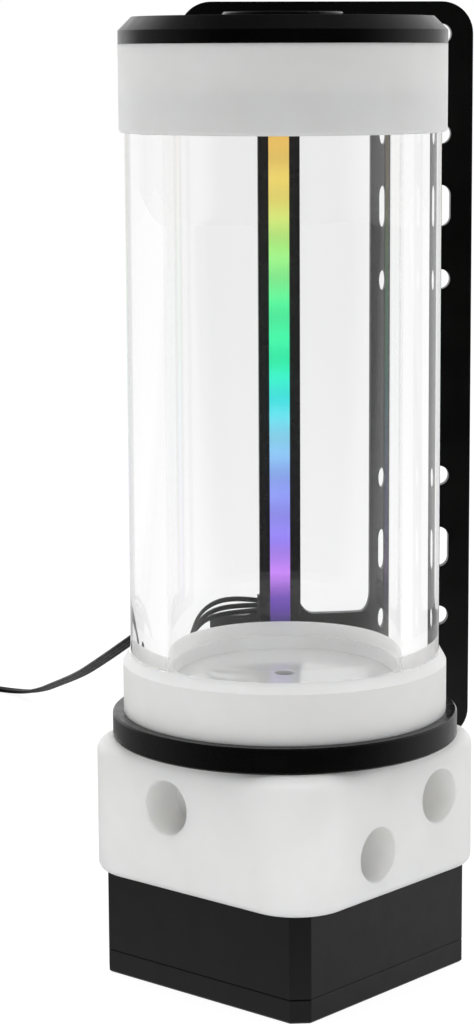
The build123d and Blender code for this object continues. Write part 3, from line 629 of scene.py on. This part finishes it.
moulded("rubber_black", "#131312", "#1A1A19", 0.6, 0.75, 1.52, 0.4, 0.02)
moulded("acetal_black", "#0C0C0C", "#111110", 0.35, 0.48, 1.48, 0.4, 0.01)
moulded("filled_plastic_dark", "#1B1C1E", "#232427", 0.4, 0.55, 1.6, 0.5, 0.02)
moulded("pvc_skin_black", "#050505", "#080807", 0.3, 0.42, 1.16, 0.8, 0.01)
moulded("nylon_black", "#101010", "#161616", 0.4, 0.5, 1.53, 0.4, 0.01)
moulded("ceramic_white", "#E4E2DA", "#ECEAE4", 0.15, 0.25, 1.76, 0.3, 0.004)
moulded("carbon_bush", "#1E1E20", "#2A2A2D", 0.45, 0.6, 1.7, 0.3, 0.02)
moulded("ferrite_grey", "#2B2B2C", "#383736", 0.4, 0.6, 1.8, 0.25, 0.03)
moulded("chip_resin_white", "#E6E2C8", "#F0EEDC", 0.35, 0.45, 1.53, 0.4, 0.01)
moulded("soft_tie_grey", "#3A3A3C", "#48484A", 0.7, 0.85, 1.45, 0.3, 0.03)
print(len(finishes), "finishes")

# %% [markdown]
# ## Bare and plated metals
# The screws are steel with a black oxide, the stator is a stack of silicon steel
# sheets 0.5 mm thick, the windings are enamelled copper and the pins are tinned. A
# metal is told by its colour alone, so each keeps the default index and differs in
# colour, roughness and marks. The sheets, the windings and the brushed spacers are
# drawn with fine bands along the axis.


# %% Metals
def metal(name, colour_one, colour_two, rough_low, rough_high, band=None):
    finish, tree, place, shader = new_finish(name)
    tree.links.new(tinted(tree, place, 7, colour_one, colour_two), shader.inputs["Base Color"])
    tree.links.new(drift(tree, place, 2, rough_low, rough_high), shader.inputs["Roughness"])
    bump = grain(tree, place, 0.3, 0.008, 0.5)
    if band:
        bump = banded(tree, place, bump, band, 0.2, 0.8, band / 4)
    tree.links.new(bump.outputs["Normal"], shader.inputs["Normal"])
    set_values(shader, Metallic=1.0)
    finishes[name] = finish


metal("black_oxide_steel", "#1C1B1A", "#262423", 0.32, 0.45)
metal("silicon_steel_stack", "#8C8C8B", "#A3A2A0", 0.3, 0.45, band=0.5)
metal("enamelled_copper", "#A8532A", "#C06A38", 0.25, 0.38, band=0.45)
metal("tin_plate", "#B9B8B4", "#CBCAC6", 0.2, 0.32)
metal("brushed_aluminium", "#AEAFB1", "#C0C1C2", 0.25, 0.4, band=0.3)
print(len(finishes), "finishes")

# %% [markdown]
# ## Circuit boards
# Both boards are glass-fibre laminate under a solder mask. The mask is a thin glossy
# green skin over a woven base, whose 0.4 mm weave is drawn at 0.8 mm, as a faint
# checked bump. The housing and the light channel hide both boards, so no tracks are
# drawn on them.

# %% Solder mask
finish, tree, place, shader = new_finish("solder_mask_green")
weave = add(tree, "ShaderNodeTexChecker", {"Scale": size_mm(0.8)}, {"Vector": place})
tree.links.new(tinted(tree, place, 5, "#0F4A2C", "#145A35"), shader.inputs["Base Color"])
weave_bump = add(tree, "ShaderNodeBump", {"Strength": 0.3, "Distance": 0.01 * MM},
                 {"Height": weave.outputs["Fac"]})
tree.links.new(weave_bump.outputs["Normal"], shader.inputs["Normal"])
set_values(shader, IOR=1.55, Roughness=0.25, Coat_Weight=0.3, Coat_Roughness=0.1)
finishes["solder_mask_green"] = finish
print(len(finishes), "finishes")

# %% [markdown]
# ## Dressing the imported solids
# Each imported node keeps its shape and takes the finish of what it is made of. A table
# lists the nodes of each finish, and one loop clears a node's own materials before it
# gives the new one, so that no piece keeps an unused slot.

# %% Finishes by node
dress = {
    "opal_acetal_milled": ["pump_block"],
    "opal_acetal_turned": ["lower_collar", "upper_collar"],
    "anodised_blasted": ["base_plate", "pump_housing"],
    "anodised_turned": ["lock_ring", "top_cap", "fill_plug", "light_channel"],
    "powder_coat_black": ["mounting_plate"],
    "borosilicate_clear": ["glass_tube"],
    "lit_diffuser": ["light_diffuser"],
    "rubber_black": ["cup_seal", "spigot_seal", "lower_tube_seal", "upper_tube_seal", "cap_seal",
                     "fill_plug_seal", "lead_relief", "cable_grommet"],
    "acetal_black": ["light_end_caps"],
    "filled_plastic_dark": ["rotor_cup", "impeller"],
    "pvc_skin_black": ["light_lead", "light_lead_coil"],
    "nylon_black": ["lead_connector"],
    "ceramic_white": ["bearing_pin"],
    "carbon_bush": ["impeller_bush"],
    "ferrite_grey": ["rotor_magnet"],
    "chip_resin_white": ["light_chips"],
    "black_oxide_steel": ["base_screws", "ring_screws", "cap_screws", "block_plate_screws",
                          "collar_plate_screws", "channel_screws"],
    "silicon_steel_stack": ["stator_core"],
    "enamelled_copper": ["stator_coils"],
    "tin_plate": ["connector_pins"],
    "brushed_aluminium": ["plate_spacers"],
    "solder_mask_green": ["motor_board", "light_board"],
}


def give(piece, finish_name):
    """Replaces all of a piece's materials with one finish."""
    piece.data.materials.clear()
    piece.data.materials.append(finishes[finish_name])


for finish_name, names in dress.items():
    for name in names:
        give(nodes[name], finish_name)
give(tube, "borosilicate_clear")
give(lead, "pvc_skin_black")
give(coil_tie, "soft_tie_grey")
print("dressed", sum(len(names) for names in dress.values()), "of", len(nodes), "nodes")

# %% [markdown]
# ## Floor and light
# The object stands in a white tent that is open towards the camera. A big lamp from
# above and one from each side light it softly, and the open front is the dimmest
# direction, so faces that look at the camera are the greyest. A low lamp in front
# lifts the block, and a small one in the tube stands in for the light that the wall
# gathers on the reservoir's floor. The floor and the back of the tent are plain white
# to the camera and through the glass. Black parts mirror a tent that is dark in
# front, dimmer on the left than on the right, and white far behind. The floor keeps a
# faint shadow.


# %% Fades along the axes
def faded(tree, axes, *rows):
    """Multiplies smooth changes, each from one level to another between two points of an axis."""
    total = None
    for axis, low, high, from_level, to_level in rows:
        fade = add(tree, "ShaderNodeMapRange",
                   {"From Min": low, "From Max": high, "To Min": from_level, "To Max": to_level},
                   {"Value": axes.outputs[axis]}, interpolation_type="SMOOTHSTEP")
        total = fade if total is None else add(tree, "ShaderNodeMath", links={0: total, 1: fade},
                                               operation="MULTIPLY")
    return total


print("fades ready")

# %% [markdown]
# ## What each kind of ray meets
# A photographer's white tent looks different to each surface, and the renderer can
# tell by which kind of ray it is asked. The camera meets plain white. A ray through
# the glass meets plain white too, unless it was mirrored inside the wall and comes
# out to the front, where the tent's opening is. A mirrored ray meets the given level,
# so black parts stay black. A ray that lights a surface meets the plain tent. The
# depth of a ray counts its earlier bounces, so a depth under one half means none.

# %% Rays
NO_BOUNCE = 0.5
GLASS_DARKEST = 0.12


def tent_rays(tree, near, far, behind):
    """Returns the mirrored level, the share of mirrored rays and of rays that meet white."""
    rays = add(tree, "ShaderNodeLightPath").outputs
    direct = add(tree, "ShaderNodeMath", {1: NO_BOUNCE}, {0: rays["Diffuse Depth"]},
                 operation="LESS_THAN")
    unbounced = add(tree, "ShaderNodeMath", {1: NO_BOUNCE}, {0: rays["Glossy Depth"]},
                    operation="LESS_THAN")
    level = add(tree, "ShaderNodeMath", links={0: near, 1: far}, operation="MAXIMUM")
    in_glass = add(tree, "ShaderNodeMath", {1: GLASS_DARKEST}, {0: rays["Is Transmission Ray"]},
                   operation="MULTIPLY")
    level = add(tree, "ShaderNodeMath", links={0: level, 1: in_glass}, operation="MAXIMUM")
    mirrored = add(tree, "ShaderNodeMath", links={0: rays["Is Glossy Ray"], 1: direct},
                   operation="MULTIPLY")
    straight = add(tree, "ShaderNodeMath", links={0: rays["Is Transmission Ray"], 1: direct},
                   operation="MULTIPLY")
    reached = add(tree, "ShaderNodeMath", links={0: unbounced, 1: behind}, operation="MAXIMUM")
    through = add(tree, "ShaderNodeMath", links={0: straight, 1: reached}, operation="MULTIPLY")
    seen = add(tree, "ShaderNodeMath", links={0: rays["Is Camera Ray"], 1: through},
               operation="MAXIMUM")
    return level, mirrored, seen


print("darkest in the glass", GLASS_DARKEST)

# %% Floor
FLOOR_SIZE = 6.0
FLOOR_GAP = 0.05 * MM
MIRROR_LEFT = 0.3
MIRROR_RIGHT = 0.6
PAPER_GLOW = 0.92
floor_mesh = bmesh.new()
bmesh.ops.create_grid(floor_mesh, x_segments=1, y_segments=1, size=FLOOR_SIZE / 2)
floor_data = bpy.data.meshes.new("floor")
floor_mesh.to_mesh(floor_data)
floor_mesh.free()
floor = bpy.data.objects.new("floor", floor_data)
floor.location.z = -FLOOR_GAP
scene.collection.objects.link(floor)
finish = bpy.data.materials.new("white_sweep")
finish.use_nodes = True
tree = finish.node_tree
tree.nodes.clear()
spot = add(tree, "ShaderNodeSeparateXYZ",
           links={"Vector": add(tree, "ShaderNodeTexCoord").outputs["Object"]})
behind_row = ("Y", -0.30, 0.02, 0.0, 1.0)
near = faded(tree, spot, behind_row, ("X", -0.2, 0.2, MIRROR_LEFT, MIRROR_RIGHT))
far = faded(tree, spot, ("Y", 0.15, 0.5, 0.0, 1.0))
level, mirrored, seen = tent_rays(tree, near, far, faded(tree, spot, behind_row))
paper = add(tree, "ShaderNodeBsdfDiffuse", {"Color": linear("#F4F4F4")})
mirror_look = add(tree, "ShaderNodeEmission", {"Color": linear("#FFFFFF")}, {"Strength": level})
dim_paper = add(tree, "ShaderNodeBsdfDiffuse", {"Color": linear("#6E6E6E")})
glow = add(tree, "ShaderNodeEmission", {"Color": linear("#FFFFFF"), "Strength": PAPER_GLOW})
bright = add(tree, "ShaderNodeAddShader", links={0: dim_paper, 1: glow})
unseen = add(tree, "ShaderNodeMixShader", links={"Fac": mirrored, 1: paper, 2: mirror_look})
mix = add(tree, "ShaderNodeMixShader", links={"Fac": seen, 1: unseen, 2: bright})
add(tree, "ShaderNodeOutputMaterial", links={"Surface": mix})
floor_data.materials.append(finish)
print("floor", FLOOR_SIZE, "m, mirrored left", MIRROR_LEFT, "right", MIRROR_RIGHT)

# %% World
TENT_LEVEL = 0.69
FRONT_LEVEL = 0.5
world = bpy.data.worlds.new("tent")
scene.world = world
world.use_nodes = True
tree = world.node_tree
tree.nodes.clear()
towards = add(tree, "ShaderNodeSeparateXYZ",
              links={"Vector": add(tree, "ShaderNodeTexCoord").outputs["Generated"]})
tent_level = faded(tree, towards, ("Y", -0.95, -0.1, FRONT_LEVEL * TENT_LEVEL, TENT_LEVEL))
near = faded(tree, towards, ("Y", -0.8, 0.25, 0.02, 1.0), ("X", -0.4, 0.4, MIRROR_LEFT, 0.85),
             ("Z", 0.5, 0.95, 1.0, 0.25))
far = faded(tree, towards, ("Y", 0.4, 0.8, 0.0, 1.0))
behind = faded(tree, towards, ("Y", -0.5, -0.1, 0.0, 1.0))
mirror_level, mirrored, seen = tent_rays(tree, near, far, behind)
level = add(tree, "ShaderNodeMix", links={"Factor": mirrored, "A": tent_level, "B": mirror_level},
            data_type="FLOAT")
tent = add(tree, "ShaderNodeBackground", {"Color": linear("#FFFFFF")}, {"Strength": level})
white = add(tree, "ShaderNodeBackground", {"Color": linear("#FFFFFF"), "Strength": 1.0})
mix = add(tree, "ShaderNodeMixShader", links={"Fac": seen, 1: tent, 2: white})
add(tree, "ShaderNodeOutputWorld", links={"Surface": mix})
print("tent level", TENT_LEVEL, "front", FRONT_LEVEL)


# %% Lamps
def soft_lamp(name, place, aim, width, height, watts, spread=180):
    """A rectangular softbox that faces a point, with a grid that limits its spread."""
    data = bpy.data.lights.new(name, "AREA")
    data.shape = "RECTANGLE"
    data.size = width
    data.size_y = height
    data.energy = watts
    data.spread = radians(spread)
    lamp = bpy.data.objects.new(name, data)
    lamp.location = place
    lamp.visible_camera = False
    lamp.visible_glossy = False
    lamp.visible_transmission = False
    lamp.rotation_euler = (Vector(aim) - Vector(place)).to_track_quat("-Z", "Y").to_euler()
    scene.collection.objects.link(lamp)
    return lamp


MIDDLE = (0, 0, 0.12)
soft_lamp("lamp_top", (0, 0.1, 1.0), MIDDLE, 0.9, 0.9, 5.0)
soft_lamp("lamp_left", (-0.8, -0.15, 0.45), MIDDLE, 0.5, 0.7, 0.26)
soft_lamp("lamp_right", (0.8, -0.05, 0.45), MIDDLE, 0.5, 0.7, 0.28)
soft_lamp("lamp_low", (0, -0.7, 0.06), (0, 0, 0.02), 0.3, 0.04, 0.016, spread=12)
soft_lamp("lamp_well", (0, 0, 0.205), (0, 0, 0.075), 0.02, 0.02, 0.03, spread=34)
scene.view_settings.view_transform = "Standard"
